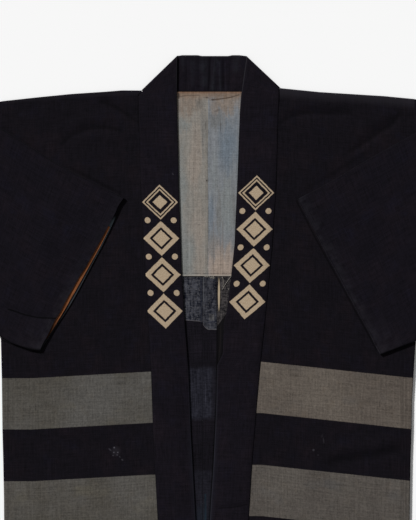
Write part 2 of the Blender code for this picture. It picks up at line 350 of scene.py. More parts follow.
# ---------------------------------------------------------------- shells
def add_patch(bm, rows):
    """Adds a surface through rows of (position in mm, cut uv in mm, edge uv in mm)."""
    layers = [bm.loops.layers.uv.get(name) or bm.loops.layers.uv.new(name) for name in ("cut", "edge")]
    made = [[bm.verts.new(Vector(p[0]) * MM) for p in row] for row in rows]
    for i in range(len(rows) - 1):
        for j in range(len(rows[0]) - 1):
            corners = ((i, j), (i, j + 1), (i + 1, j + 1), (i + 1, j))
            face = bm.faces.new([made[a][b] for a, b in corners])
            for loop, (a, b) in zip(face.loops, corners):
                for layer, uv in zip(layers, rows[a][b][1:]):
                    loop[layer].uv = (uv[0] * MM, uv[1] * MM)


def add_object(name, data):
    made = bpy.data.objects.new(name, data)
    bpy.context.scene.collection.objects.link(made)
    return made


def worked_out(made):
    """The mesh of an object with its modifiers or bevel worked out."""
    bpy.context.view_layer.update()
    return bpy.data.meshes.new_from_object(made.evaluated_get(bpy.context.evaluated_depsgraph_get()))


def place(made, slot, node=None):
    """Puts a finished piece of cloth on the coat; node is the CAD solid that it replaces."""
    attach(made, "root")
    if node:
        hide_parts(node)
    return made


def shell(name, node, patches, wall, looks, slot):
    """A piece of welded patches, given a wall or, for 0, closed at its ends. looks are outer and inner."""
    bm = bmesh.new()
    for rows in patches:
        add_patch(bm, rows)
    bmesh.ops.remove_doubles(bm, verts=bm.verts, dist=WELD_METRES)
    bmesh.ops.recalc_face_normals(bm, faces=bm.faces)
    if wall:
        top = max(bm.faces, key=lambda f: f.calc_center_median().z)
        if top.normal.z < 0:
            bmesh.ops.reverse_faces(bm, faces=bm.faces)
    else:
        bmesh.ops.holes_fill(bm, edges=[e for e in bm.edges if e.is_boundary], sides=0)
        bmesh.ops.recalc_face_normals(bm, faces=bm.faces)
    mesh = bpy.data.meshes.new(name)
    bm.to_mesh(mesh)
    bm.free()
    for look in looks:
        mesh.materials.append(look)
    made = add_object(name, mesh)
    if wall:
        solid = made.modifiers.new("wall", "SOLIDIFY")
        solid.thickness = wall * MM
        solid.offset = 0
        solid.use_even_offset = True
        solid.material_offset = len(looks) - 1
        mesh = worked_out(made)
        made.modifiers.clear()
        made.data = mesh
    mesh.shade_smooth()
    mesh.set_sharp_from_angle(angle=SHARP_ANGLE)
    return place(made, slot, node)


def band_edge(side, y, column):
    """x of the band's free edge (column 1) or its seam (column 2) at y."""
    return at([(row[0], row[column]) for row in side["band"]], y)


def neck_y(side, x):
    corner_x, corner_y = side["neck_corner"]
    return at([(NECK_FLAT_X, NECK_SEAM_Y), (corner_x, corner_y - NECK_CORNER_DROP)], x)


def body(side, looks):
    """One length of cloth: back, turned shoulder and front, closed at the side below the armhole."""
    sign = side["sign"]
    neck_x = side["shoulder"][0][0]
    seam_x = sign * BACK_SEAM_X + SEAM_GAP / 2
    top_y = at(side["shoulder"], neck_x) - TURN_REACH
    heights = finer({row[0] for row in side["band"]} | {ARMHOLE_BOTTOM_Y, top_y}, ROW_STEP)
    front_folds = fold_lines(FRONT_FOLDS)
    back_folds = fold_lines(BACK_FOLDS)

    def side_x(y):
        return at(side["side"], y) - TURN_REACH

    def lifted(y, share):
        if y <= ARMHOLE_BOTTOM_Y:
            return y
        top = at(side["shoulder"], mix(neck_x, side_x(y), share)) - TURN_REACH
        return mix(ARMHOLE_BOTTOM_Y, top, (y - ARMHOLE_BOTTOM_Y) / (top_y - ARMHOLE_BOTTOM_Y))

    def point(x, y, front, top):
        # how freely the cloth may lift: not at all at the side, the shoulder and the hem
        free = smooth_step((side_x(y) - x) / SIDE_STILL) * smooth_step((top - y) / SHOULDER_STILL)
        free *= smooth_step((y + HALF_LENGTH) / HEM_STILL)
        if front:
            z = relief(front_folds, sign * x, y) + ripple(x, y, BODY_RIPPLE, sign)
            z = FRONT_LEVEL + z * free * smooth_step((x - band_edge(side, y, 2)) / BAND_STILL + BAND_LIFT)
            v = y - at(side["climb"], x)
        else:
            z = BACK_LEVEL + max(0, relief(back_folds, sign * x, y) * free)
            v = y - at(BACK_CLIMB, x) - 2 * HALF_LENGTH
        return (sign * x, y, z), (x, v), (side_x(y) - x, y + HALF_LENGTH)

    def front_spot(y, s):
        inner_x = band_edge(side, y, 2) + BAND_GAP if y < top_y else neck_x
        return point(mix(inner_x, side_x(y), s), lifted(y, s), True, lifted(top_y, s))

    def back_spot(y, s):
        return point(mix(neck_x, side_x(y), s), lifted(y, s), False, lifted(top_y, s))

    def neck_row(y):
        columns = finer([seam_x, NECK_FLAT_X, neck_x], NECK_STEP)
        tops = [y] * len(columns)
        if y == top_y:
            tops[:-1] = [neck_y(side, x) - SEAM_GAP for x in columns[:-1]]
        return [point(x, top, False, HALF_LENGTH) for x, top in zip(columns, tops)]

    def side_spot(y, s):
        reach, z = TURNS[round(s * FOLD_STEPS)]
        x = side_x(y) + reach
        return (sign * x, y, z), (x, y), (0, y + HALF_LENGTH)

    front = grid(heights, PANEL_COLUMNS, front_spot)
    shoulder = []
    for reach, z in TURNS:
        shoulder.append([((p[0], p[1] + reach, z), (uv[0], uv[1] + reach), e) for p, uv, e in front[-1]])
    back = grid(heights, PANEL_COLUMNS, back_spot)
    neck = [neck_row(y) for y in heights]
    closed_side = grid([y for y in heights if y <= ARMHOLE_BOTTOM_Y], FOLD_STEPS, side_spot)
    patches = [back, neck, shoulder, front, closed_side]
    return shell("body_cloth_" + side["name"], "body_" + side["name"], patches, WALL, looks, "indigo")


# ---------------------------------------------------------------- collar
NECK_DIP = (1.3, -17, 40, 9)  # how far the band's top edge dips, from and to which x, and over what length
NECK_BAND_XS = [-40, -12, 18, 50]  # the band lies flat behind the neck between the first and the last
NECK_V = HALF_LENGTH + 60  # length along the band at the coat's centre line
BAND_INSET = 3  # folds start this far from the band's edges
BAND_RIPPLE_FADE = (400, 40)  # the band's ripple fades out below the first y over the second


def band_stations():
    """(free edge, seam edge, outward, share of the fold's turn, length along the band, side), hem to hem."""
    still = Vector((0, 0))
    stations = []
    for side in (LEFT, RIGHT):
        sign = side["sign"]
        half = []
        for y in finer([row[0] for row in side["band"]], FINE_STEP):
            free = Vector((sign * band_edge(side, y, 1), y))
            seam = Vector((sign * band_edge(side, y, 2), y))
            half.append((free, seam, still, 1, y, sign))
        corner = Vector(side["neck_corner"])
        back_top = Vector(side["fold_top_back"])
        front_top = Vector(side["fold_top_front"])
        outward = square_to(back_top, corner, Vector((0, 1)))
        last_y = side["band"][0][0]
        last = half[-1]
        flip = Vector((sign, 1))
        for share in shares(BAND_ROUND)[1:-1]:
            free = last[0].lerp(front_top * flip, share)
            seam = last[1].lerp(corner * flip, share)
            half.append((free, seam, still, 1, mix(last_y, HALF_LENGTH, share), sign))
        for share in reversed(shares(FOLD_STEPS)):
            free = back_top.lerp(front_top, share) * flip
            half.append((free, corner * flip, outward * flip, share, HALF_LENGTH + 2, sign))
        if sign < 0:
            stations += half
            depth, start, end, over = NECK_DIP
            for x in finer(NECK_BAND_XS, NECK_BAND_STEP):
                dip = depth * smooth_step((x - start) / over) * smooth_step((end - x) / over)
                free = Vector((x, HALF_LENGTH - dip))
                stations.append((free, Vector((x, NECK_SEAM_Y)), still, 0, NECK_V + x, 0))
        else:
            stations += half[::-1]
    return stations


def collar(look):
    """The doubled band as a flat tube with rounded edges, folded over at each side of the neck."""
    folds = fold_lines(BAND_FOLDS)
    middle = (BAND_BACK_LEVEL + BAND_FRONT_LEVEL) / 2
    mid_radius = middle - BAND_BACK_LEVEL
    half_wall = BAND_WALL / 2
    arc = [math.pi * s for s in shares(BAND_ROUND)][1:-1]
    rows = []
    for free, seam, outward, share, length, sign in band_stations():
        width = (seam - free).length
        across = (seam - free) / width
        flat = [mix(half_wall, width - half_wall, s) for s in shares(BAND_ACROSS)]
        ring = [(d, half_wall) for d in flat]
        ring += [(width - half_wall + half_wall * math.sin(a), half_wall * math.cos(a)) for a in arc]
        ring += [(d, -half_wall) for d in reversed(flat)]
        ring += [(half_wall - half_wall * math.sin(a), -half_wall * math.cos(a)) for a in arc]
        ring.append(ring[0])
        spots = []
        for d, h in ring:
            radius = mid_radius - h
            angle = math.pi * share
            spot = free + across * d + outward * radius * math.sin(angle)
            z = middle - radius * math.cos(angle)
            upper = (h > 0) == (share < 0.5)
            if upper and share in (0, 1):
                inset = smooth_step(min(d, width - d) / BAND_INSET)
                z += relief(folds, spot.x, spot.y) * inset
                if share == 1.0:
                    start, over = BAND_RIPPLE_FADE
                    z += inset * ripple(spot.x, spot.y, BAND_RIPPLE) * smooth_step((start - spot.y) / over)
            if sign and share == 1.0:
                z -= at(LEFT_SINK if sign < 0 else RIGHT_SINK, spot.y) * smooth_step(1 - d / SINK_REACH[0])
                if sign > 0:
                    z -= at(SEAM_SINK, spot.y) * smooth_step(1 - (width - d) / SINK_REACH[1])
            v = length if sign else NECK_V + spot.x
            spots.append(((spot.x, spot.y, z), (d * (sign or 1), v), (d, width - d)))
        rows.append(spots)
    return shell("collar_band", "collar", [rows], 0, [look], "indigo")


# ---------------------------------------------------------------- sleeves
ROUND_FOLD = 11  # length of cloth that turns round the sleeve's outer fold
CUFF_GROWTH = 3  # the power by which the cuff's bow and rim grow from the fold to the cuff
SLEEVE_RISE = 6  # the sleeve's folds come in over this part, one sixth, of the way to the cuff
OUTWARD = Vector((1, 0))


def sleeve_lines(side):
    """Stations: (top, bottom, share of the fold's turn, share from fold to cuff, length from the armhole)."""
    armhole_x = at(side["side"], HALF_LENGTH) - TURN_REACH + SEAM_GAP
    armhole_top = Vector((armhole_x, side["shoulder"][-1][1]))
    armhole_bottom = Vector((armhole_x, ARMHOLE_BOTTOM_Y + SEAM_GAP))
    top, bottom = (Vector(p) for p in side["sleeve_fold"])
    root = ((top - armhole_top).length + (bottom - armhole_bottom).length) / 2
    lines = []
    for share in shares(SLEEVE_ROOT_STATIONS)[:-1]:
        lines.append((armhole_top.lerp(top, share), armhole_bottom.lerp(bottom, share), 0, 0, root * share))
    for share in shares(FOLD_STEPS):
        lines.append((top, bottom, share, 0, root + ROUND_FOLD * share))
    cuff = (along(side["sleeve_top"], 1) + along(side["sleeve_bottom"], 1)) / 2
    out = (cuff - (top + bottom) / 2).length
    for share in shares(SLEEVE_STATIONS)[1:]:
        ends = [along(side[edge], share) for edge in ("sleeve_top", "sleeve_bottom")]
        lines.append((*ends, 1, share, root + ROUND_FOLD + out * share))
    return lines


def cuff_shift(side, share, depth):
    """How far the cuff's edge lies past the straight line between its corners."""
    beneath = depth > (BACK_LEVEL + FRONT_LEVEL) / 2
    return at(side["cuff_rim" if beneath else "cuff_bow"], share)


def sleeve_point(side, line, down, depth):
    """A point of the folded sleeve, from its distances down from the top edge and in from the outer face."""
    top, bottom, turned, out, _ = line
    outward = square_to(top, bottom, OUTWARD)
    radius = SLEEVE_FOLD_LEVEL - depth
    angle = math.pi * turned
    spot = top + (bottom - top).normalized() * down + outward * radius * math.sin(angle)
    spot += outward * cuff_shift(side, down / (bottom - top).length, depth) * out**CUFF_GROWTH
    return Vector((side["sign"] * spot.x, spot.y, SLEEVE_FOLD_LEVEL - radius * math.cos(angle)))


def sleeve(side, looks):
    """A flat tube from the armhole, folded forward about a slanting line and lying back over the front."""
    folds = fold_lines(SLEEVE_FOLDS)
    lines = sleeve_lines(side)
    total = lines[-1][4]
    rows = []
    for line in lines:
        length = (line[1] - line[0]).length
        walls = [mix(TURN_REACH, length - TURN_REACH, s) for s in shares(SLEEVE_ACROSS)]
        turns = TURNS[1:-1]
        ring = [(down, BACK_LEVEL, down) for down in walls]
        ring += [(length - TURN_REACH + reach, depth, length) for reach, depth in turns]
        ring += [(down, FRONT_LEVEL, 2 * length - down) for down in reversed(walls)]
        ring += [(TURN_REACH - reach, depth, 2 * length) for reach, depth in reversed(turns)]
        ring.append((ring[0][0], ring[0][1], 2 * length))
        spots = []
        for down, depth, around in ring:
            spot = sleeve_point(side, line, down, depth)
            border = min(down, length - down)
            if line[2] == 1 and depth == BACK_LEVEL:
                free = smooth_step(border / SLEEVE_STILL) * smooth_step(line[3] * SLEEVE_RISE)
                uneven = ripple(spot.x, spot.y, SLEEVE_RIPPLE, side["sign"])
                spot.z += free * (relief(folds, spot.x, spot.y) + uneven)
            spots.append((spot, (around, -line[4]), (total - line[4], border)))
        rows.append(spots)
    return shell("sleeve_cloth_" + side["name"], "sleeve_" + side["name"], [rows], WALL, looks, "indigo")


def cuff_facing(side, look):
    """A strip inside the gaping cuff, along the half of the sleeve that lies on the front."""
    top, bottom, _, _, _ = sleeve_lines(side)[-1]
    inward = square_to(top, bottom, OUTWARD)
    level = 2 * SLEEVE_FOLD_LEVEL - FACING_LEVEL
    length = (bottom - top).length

    def spot(share, across):
        inside = FACING_WIDTH * across
        hem = cuff_shift(side, share, FRONT_LEVEL) + at(FACING_HEM, share)
        p = top.lerp(bottom, share) + inward * hem + inward * inside
        return (side["sign"] * p.x, p.y, level), (length * share, inside), (inside, FACING_FAR)

    rows = grid([mix(*FACING_ENDS, s) for s in shares(FACING_STEPS[0])], FACING_STEPS[1], spot)
    return shell("cuff_facing_cloth", "cuff_facing", [rows], WALL, [look], "facing")


# ---------------------------------------------------------------- lining, and the fold inside the back
def lining(side, look):
    """Half of the light lining inside the back, from the neck seam to its hem."""
    sign = side["sign"]
    folds = fold_lines(LINING_FOLDS)
    above, beneath, over = LINING_STILL

    def spot(y, s):
        outer = band_edge(side, y, 1) + LINING_TUCK
        x = sign * mix(SEAM_GAP / 4, outer, s)
        free = smooth_step((y - LINING_HEM_Y) / above) * smooth_step((outer - abs(x) - beneath) / over)
        z = LINING_LEVEL + max(LINING_DEEPEST, relief(folds, x, y)) * free
        return (x, y, z), (x, y), (outer - abs(x), y - LINING_HEM_Y)

    rows = grid(finer([LINING_HEM_Y, NECK_SEAM_Y - SEAM_GAP], FINE_STEP), LINING_ACROSS, spot)
    return shell("lining_cloth_" + side["name"], "lining_" + side["name"], [rows], WALL, [look], "lining")


def back_tuck(look):
    """A shallow fold of the back's cloth, from under the lining down to where the right band covers it."""

    def spot(y, s):
        inner = at(TUCK_LEFT, y)
        outer = band_edge(RIGHT, y, 1) + TUCK_UNDER_BAND
        x = mix(inner, max(outer, inner + TUCK_LEAST), s)
        from_edge = x - inner
        past_crease = from_edge - at(TUCK_CREASE, y)
        z = TUCK_LEVEL + TUCK_RIM * math.exp(-((from_edge / TUCK_RIM_WIDTH) ** 2))
        z += TUCK_RISE * smooth_step(past_crease / TUCK_RISE_WIDTH)
        z -= TUCK_GROOVE * math.exp(-(past_crease**2))
        return (x, y, z), (x, y), (from_edge, y)

    rows = grid(finer([row[0] for row in TUCK_LEFT], FINE_STEP), TUCK_ACROSS, spot)
    return shell("back_tuck", None, [rows], TUCK_WALL, [look], "indigo")


def thread(name, lines, radius, look):
    """Loose threads along lines of (pixel x, pixel y, height in mm)."""
    curve = bpy.data.curves.new(name, "CURVE")
    curve.dimensions = "3D"
    curve.bevel_depth = radius * MM
    curve.bevel_resolution = 1
    curve.resolution_u = 4
    for line in lines:
        spline = curve.splines.new("BEZIER")
        spline.bezier_points.add(len(line) - 1)
        for knot, (px, py, z) in zip(spline.bezier_points, line):
            knot.co = (x_of(px), y_of(py), z * MM)
            knot.handle_left_type = knot.handle_right_type = "AUTO"
    shape = add_object(name, curve)
    mesh = worked_out(shape)
    bpy.data.objects.remove(shape)
    for layer in ("cut", "edge"):
        mesh.uv_layers.new(name=layer)
    mesh.materials.append(look)
    return place(add_object(name, mesh), "lining")


# ---------------------------------------------------------------- materials
SCREEN_TOP = 255
MIX_A, MIX_B, MIX_RESULT = 6, 7, 2  # the colour sockets of a Mix node


def srgb(colour):
    """A screen colour, each part from 0 to 255, as the linear colour that Blender takes."""
    parts = [value / SCREEN_TOP for value in colour]
    return tuple(c / 12.92 if c <= 0.04045 else ((c + 0.055) / 1.055) ** 2.4 for c in parts)


class Value:
    """A number or colour that a look's nodes work out. Arithmetic and the calls below add nodes to it."""

    def __init__(self, look, socket):
        self.look, self.socket = look, socket

    def math(self, operation, *values):
        return self.look.math(operation, self, *values)

    def __add__(self, other):
        return self.math("ADD", other)

    def __radd__(self, other):
        return self.look.math("ADD", other, self)

    def __sub__(self, other):
        return self.math("SUBTRACT", other)

    def __rsub__(self, other):
        return self.look.math("SUBTRACT", other, self)

    def __mul__(self, other):
        return self.math("MULTIPLY", other)

    def most(self, other):
        return self.math("MAXIMUM", other)

    def away(self, centre=0):
        """Distance from centre, whichever way."""
        return (self - centre).math("ABSOLUTE")

    def ramp(self, low, high):
        """0 at low and 1 at high, smooth between; low may be the larger."""
        ends = (1, 0) if low > high else (0, 1)
        node = self.look.node("MapRange", self, min(low, high), max(low, high), *ends)
        node.interpolation_type = "SMOOTHSTEP"
        return Value(self.look, node.outputs[0])

    def between(self, low, high, soft):
        """1 from low to high, fading over soft past each."""
        return self.ramp(low - soft, low + soft) * self.ramp(high + soft, high - soft)

    def tint(self, share, colour):
        """This colour changed to another by a share."""
        return self.look.blend(share, self, colour)

    def shade(self, share):
        """This colour times a number."""
        return self.look.blend(1, self, self.look.vector(share, share, share), "MULTIPLY")

    def darken(self, share):
        return self.shade(1.0 - share)

    def cast(self, *factors):
        """This colour with its red, green and blue each times a factor."""
        return self.look.blend(1, self, (*factors, 1), "MULTIPLY")


class Look:
    """A material, and short calls that add its nodes. They take numbers, screen colours and Values."""

    def __init__(self, name):
        self.material = bpy.data.materials.new(name)
        self.material.use_nodes = True
        self.tree = self.material.node_tree
        self.shader = self.tree.nodes["Principled BSDF"]
        self.x, self.y = self.split(self.node("TexCoord").outputs["Object"])
        self.u, self.v = self.uv("cut")
        self.edge_a, self.edge_b = self.uv("edge")

    def node(self, kind, *values):
        """A new node with values in its first inputs."""
        node = self.tree.nodes.new("ShaderNode" + kind)
        for socket, value in zip(node.inputs, values):
            self.put(socket, value)
        return node

    def put(self, socket, value):
        if isinstance(value, Value):
            self.tree.links.new(value.socket, socket)
        elif isinstance(value, tuple) and len(value) == 3:
            socket.default_value = (*srgb(value), 1)
        else:
            socket.default_value = value

    def split(self, socket):
        """The first two coordinates of a place."""
        outputs = self.node("SeparateXYZ", Value(self, socket)).outputs
        return Value(self, outputs[0]), Value(self, outputs[1])

    def uv(self, layer):
        node = self.node("UVMap")
        node.uv_map = layer
        return self.split(node.outputs[0])

    def vector(self, *parts):
        return Value(self, self.node("CombineXYZ", *parts).outputs[0])

    def math(self, operation, *values):
        node = self.node("Math", *values)
        node.operation = operation
        return Value(self, node.outputs[0])

    def blend(self, share, a, b, kind="MIX"):
        """Colour a changed to colour b by a share."""
        node = self.node("Mix", share)
        node.data_type = "RGBA"
        node.blend_type = kind
        node.clamp_factor = True
        self.put(node.inputs[MIX_A], a)
        self.put(node.inputs[MIX_B], b)
        return Value(self, node.outputs[MIX_RESULT])

    def noise(self, across, down, seed, detail=2, rough=0.55, flat=True):
        """Noise from 0 to 1 over the flat cloth."""
        u, v = (self.u, self.v) if flat else (self.x, self.y)
        place = self.vector(u * across, v * down, seed)
        node = self.node("TexNoise", place, 0, 1, detail, rough)  # no fourth coordinate, and a scale of 1
        return Value(self, node.outputs["Fac"])

    def laid(self, *settings):
        """The same noise over the coat as it lies."""
        return self.noise(*settings, flat=False)

    def rows(self, first, last):
        """0 at one pixel row of the photograph and 1 at another."""
        return self.y.ramp(y_of(first), y_of(last))

    def ragged(self, value, waves, seed, millimetres):
        """A coordinate that wanders either way, for uneven edges."""
        return value + (self.laid(waves, waves, seed, 3, 0.6) - 0.5) * (2 * millimetres * MM)

    def line(self, points, width, soft):
        """1 on a line through pixels of the photograph, so many millimetres wide, fading at its sides."""
        best = None
        for start, end in zip(points, points[1:]):
            a, b = Vector(photo(*start)) * MM, Vector(photo(*end)) * MM
            step = b - a
            share = ((self.x - a.x) * step.x + (self.y - a.y) * step.y) * (1 / step.length_squared)
            share = share.most(0).math("MINIMUM", 1)
            dx = self.x - a.x - share * step.x
            dy = self.y - a.y - share * step.y
            distance = (dx * dx + dy * dy).math("SQRT")
            best = distance if best is None else best.math("MINIMUM", distance)
        return best.ramp((width / 2 + soft) * MM, max(0, width / 2 - soft) * MM)

    def shading_line(self, points, width):
        """A line that fades over most of its width, for painted shade and painted highlights."""
        return self.line(points, width * 0.3, width * 0.6)

    def spot(self, px, py, across, down, tilt=0, hard=0.2):
        """1 inside an ellipse, fading to 0 at its rim: centre in pixels and half sizes in millimetres."""
        dx, dy = self.x - x_of(px), self.y - y_of(py)
        if tilt:
            c, s = math.cos(math.radians(tilt)), math.sin(math.radians(tilt))
            dx, dy = dx * c + dy * s, dy * c - dx * s
        a = dx * (1 / (across * MM))
        b = dy * (1 / (down * MM))
        return (a * a + b * b).ramp(1, hard)

    def finish(self, colour, roughness, specular, sheen, tint, depth):
        """The material with its finish and, where depth isn't 0, a weave of that depth."""
        inputs = self.shader.inputs
        self.put(inputs["Base Color"], colour)
        inputs["Roughness"].default_value = roughness
        inputs["Specular IOR Level"].default_value = specular
        inputs["Sheen Weight"].default_value = sheen
        inputs["Sheen Roughness"].default_value = SHEEN_ROUGHNESS
        inputs["Sheen Tint"].default_value = (*tint, 1)
        if depth:
            bump = self.tree.nodes.new("ShaderNodeBump")
            bump.inputs["Strength"].default_value = BUMP_STRENGTH
            bump.inputs["Distance"].default_value = 1.0
            self.put(bump.inputs["Height"], weave(self, depth))
            self.tree.links.new(bump.outputs[0], inputs["Normal"])
        return self.material


SHEEN_ROUGHNESS = 0.6
BUMP_STRENGTH = 0.5
# Finishes: (roughness, specular level, sheen, its tint, depth of the weave).
COTTON = (0.92, 0.05, 0.02, (0.6, 0.6, 0.75), 0.00006)
THIN_COTTON = (0.9, 0.1, 0.03, (0.9, 0.9, 0.9), 0.00005)
BROWN_COTTON = (0.9, 0.1, 0.03, (0.9, 0.8, 0.7), 0.00006)
LOOSE_COTTON = (0.9, 0.1, 0.03, (0.9, 0.9, 0.9), 0)
DULL_FLOOR = (1, 0, 0, (1, 1, 1), 0)
THREAD_PITCH = 0.00085  # metres from one thread to the next
LEFT_SLEEVE = (-0.01, -0.02)  # from one x to the other the left sleeve's own marks come in


def weave(look, depth):
    """Height of a plain weave, with threads that swell and thin along their length."""
    turns = math.pi / THREAD_PITCH
    wobble = look.noise(160, 160, 7) * 0.0006
    warp = ((look.u + wobble) * turns).math("SINE")
    weft = ((look.v + wobble) * turns).math("SINE")
    slubs = [look.noise(*waves) * (depth * 1.6) for waves in ((900, 40, 1), (40, 900, 2))]
    return warp * weft * (depth * 0.5) + slubs[0] + slubs[1]


def threads(look, amount, across=650, along_it=30, seed=11):
    """Fine uneven lines both ways along the threads: a factor about 1, with amount as its swing."""
    warp = look.noise(across, along_it, seed) - 0.5
    weft = look.noise(along_it, across, seed + 1) - 0.5
    grain = look.noise(across, across, seed + 2, 1) - 0.5
    return (warp + weft + grain * 0.7) * (2 * amount) + 1.0


def indigo_base(look, deep=(14, 11.5, 16.5), warm=(18.5, 14, 18.5), blue=(15.5, 13.5, 21)):
    """Nearly black indigo with faint purple and blue casts."""
    colour = look.blend(look.noise(24, 20, 21, 4, 0.65).ramp(0.42, 0.7), deep, warm)
    colour = colour.tint(look.noise(31, 26, 22, 4, 0.65).ramp(0.5, 0.75), blue)
    cloudy = (look.noise(170, 110, 23, 3, 0.7) - 0.5) * 0.9
    return colour.shade(threads(look, 0.6) + cloudy)


def paint_shade_lines(look, colour, creases):
    """The colour darkened along lines: painted shade in creases and beside raised edges."""
    for points, width, strength in creases:
        colour = colour.darken(look.shading_line(points, width) * strength)
    return colour


def marked(look, colour, marks):
    """The colour with lines over it, from a table of marks."""
    for points, width, soft, strength, tone in marks:
        colour = colour.tint(look.line(points, width, soft) * strength, tone)
    return colour


# Painted shade in creases and beside raised edges: (points in pixels, width in millimetres, strength).
LEFT_PAINTED_SHADE = [
    ([(101, 101.5), (112, 105), (124, 112), (138, 122)], 7, 0.34),
    ([(61, 144), (72, 134.5), (86, 128.5), (104, 127), (120, 130)], 7.5, 0.36),
    ([(72, 168.5), (97, 181.2), (120, 192.8)], 6, 0.35),
    ([(138.7, 95), (138.2, 112), (139, 132)], 3.4, 0.35), ([(0, 125.5), (18, 137), (34, 147)], 3.5, 0.15),
    ([(1, 339.5), (16, 346), (30, 351.3), (41, 353.2)], 2.6, 0.8),
]
RIGHT_PAINTED_SHADE = [
    ([(279, 123), (292, 115.5), (306, 112.5), (330, 113), (350, 112.5)], 8, 0.32),
    ([(350, 151), (368, 140), (382, 130), (392, 124), (399, 114)], 8, 0.36),
    ([(306, 189), (334, 172.5), (368, 151.5)], 9, 0.3),
    ([(330, 461), (350, 458), (372, 455), (396, 449)], 17, 0.3),
    (
        [(296.5, 201), (315.3, 238), (328, 261), (341.2, 285), (353.5, 308), (366.3, 331), (376.5, 350)],
        3, 0.6,
    ),
]
SLEEVE_PAINTED_SHADE = [
    ([(8.5, 309.2), (12, 310.2), (25.5, 314.8), (38, 317.5), (56, 318.3)], 2.8, 0.9),
    ([(-35, 107.2), (0.1, 127.6), (61.2, 166.1), (124.6, 198)], 2.6, 0.4),
    ([(297.8, 199), (381.3, 354)], 2.2, 0.35),
    ([(24, 348.6), (32, 350.2), (37, 350.8), (41, 350.6)], 7.5, 0.95),
]
COLLAR_PAINTED_SHADE = [([(219, 508), (232, 507.5), (247, 504.5)], 2.6, 0.5)]
SPECK, SHOULDER_PAINTED_SHEEN = (96, 94, 102), (56, 54, 60)


def indigo_body(name, stripe, specks, seam_lines, shoulder, creases):
    """The outside of one half of the body, with its two resist-dyed stripes."""
    look = Look(name)
    colour = indigo_base(look)
    uneven = look.v + (look.noise(260, 60, 31) - 0.5) * 0.0009
    taupe = look.blend(look.noise(13, 9, 33, 4, 0.6).ramp(0.35, 0.68), stripe[0], stripe[1])
    taupe = taupe.tint(look.noise(19, 30, 34, 3).ramp(0.55, 0.75) * 0.5, stripe[2])
    panel_share = (look.v * (1 / (2 * HALF_LENGTH * MM)) + 1).math("FRACT")
    taupe = taupe.tint(panel_share.math("LESS_THAN", LOW_STRIPE_SHARE), taupe.cast(*stripe[3]))
    blotchy = (look.noise(250, 200, 36, 3, 0.9) - 0.5) * 1.3
    taupe = taupe.shade(threads(look, 0.36, 420, 26, 41) + blotchy)
    warmer = look.noise(70, 50, 37, 3, 0.7).ramp(0.5, 0.75) * 0.4
    taupe = taupe.tint(warmer, taupe.cast(1.05, 0.99, 0.9))
    for start in (0, -2 * HALF_LENGTH):
        for low, high in STRIPES:
            colour = colour.tint(uneven.between((start + low) * MM, (start + high) * MM, 0.0004), taupe)
    for seam_u in seam_lines:
        colour = colour.darken(look.u.away(seam_u * MM).ramp(0.0011, 0.0003) * 0.28)
    for *place, strength in specks:
        colour = colour.tint(look.spot(*place, 0) * strength, SPECK)
    # a painted sheen: a highlight painted along the shoulder's crest
    points, soft, strength = shoulder
    colour = colour.tint(look.line(points, 0, soft) * strength, SHOULDER_PAINTED_SHEEN)
    return look.finish(paint_shade_lines(look, colour, creases), *COTTON)


def indigo_sleeve():
    look = Look("indigo_sleeve")
    colour = indigo_base(look, (15, 12.5, 18.5), (19, 15, 20.5), (16.5, 14.5, 23))
    near_corner = look.edge_a.ramp(0.07, 0) * look.edge_b.ramp(0.08, 0) * look.rows(260, 300)
    cloudy = look.noise(60, 60, 43, 3).ramp(0.3, 0.7)
    colour = colour.tint(near_corner * cloudy * 0.26, (50, 46, 52))
    wander = (look.noise(70, 70, 44, 3) - 0.5) * 0.024
    worn_cuff = colour.tint((look.edge_a + wander).ramp(0.02, 0) * 0.34, (42, 41, 46))
    patchy = look.noise(75, 60, 48, 4, 0.7).ramp(0.35, 0.65)
    less = look.x.ramp(*LEFT_SLEEVE) * look.rows(300, 235)
    colour = colour.tint(patchy * (1.0 - less * 0.6), worn_cuff)
    # painted shade along the sleeve's turned top and bottom edges
    colour = colour.darken(look.edge_b.ramp(0.0032, 0.0008) * 0.4)
    return look.finish(paint_shade_lines(look, colour, SLEEVE_PAINTED_SHADE), *COTTON)


def sleeve_inside():
    """The wrong side of a sleeve, greyer on the turned hem beside the left cuff, with painted shade on that
    hem.
    """
    look = Look("indigo_sleeve_inside")
    # the hem's grey is lighter near its top, darkens towards the cuff's lower end and is kept off the top
    # corner: painted shade where the hem lies in shadow
    tone = look.blend(look.rows(266, 248), (53, 56, 60), (84, 94, 101))
    tone = tone.tint(look.rows(300, 314), (30, 31, 34))
    wander = (look.noise(70, 70, 45, 3) - 0.5) * 0.004
    hem = (look.edge_a + wander).ramp(0.009, 0) * look.rows(215, 223) * look.x.ramp(*LEFT_SLEEVE) * 0.9
    return look.finish(indigo_base(look).tint(hem, tone), *COTTON)


# Marks on the back's inside: (points in pixels, width and softness in millimetres, strength, screen colour).
STREAKS = [
    ([(205.4, 384), (205.2, 408)], 1.2, 0.8, 0.35, (72, 72, 84)),
    ([(209.4, 393), (209.2, 407)], 1.2, 0.8, 0.25, (72, 72, 84)),
    ([(202.6, 374), (202.4, 392)], 1.2, 0.8, 0.15, (72, 72, 84)),
]
BLOCK_MARKS = [
    ([(205.6, 311.6), (213, 308.6)], 1, 0.8, 0.3, (96, 96, 102)),
    ([(208.5, 322.4), (216.5, 321.6)], 1.6, 0.8, 0.7, (28, 30, 44)),
    ([(203.6, 277), (203.4, 301)], 0.8, 0.7, 0.4, (104, 106, 110)),
    ([(207.2, 279), (207.5, 318)], 0.8, 0.7, 0.3, (18, 20, 30)),
    ([(211.4, 279), (211.7, 312)], 0.8, 0.7, 0.3, (18, 20, 30)),
    ([(201.4, 270), (201.4, 322)], 2.8, 0.9, 0.6, (22, 25, 36)),
]
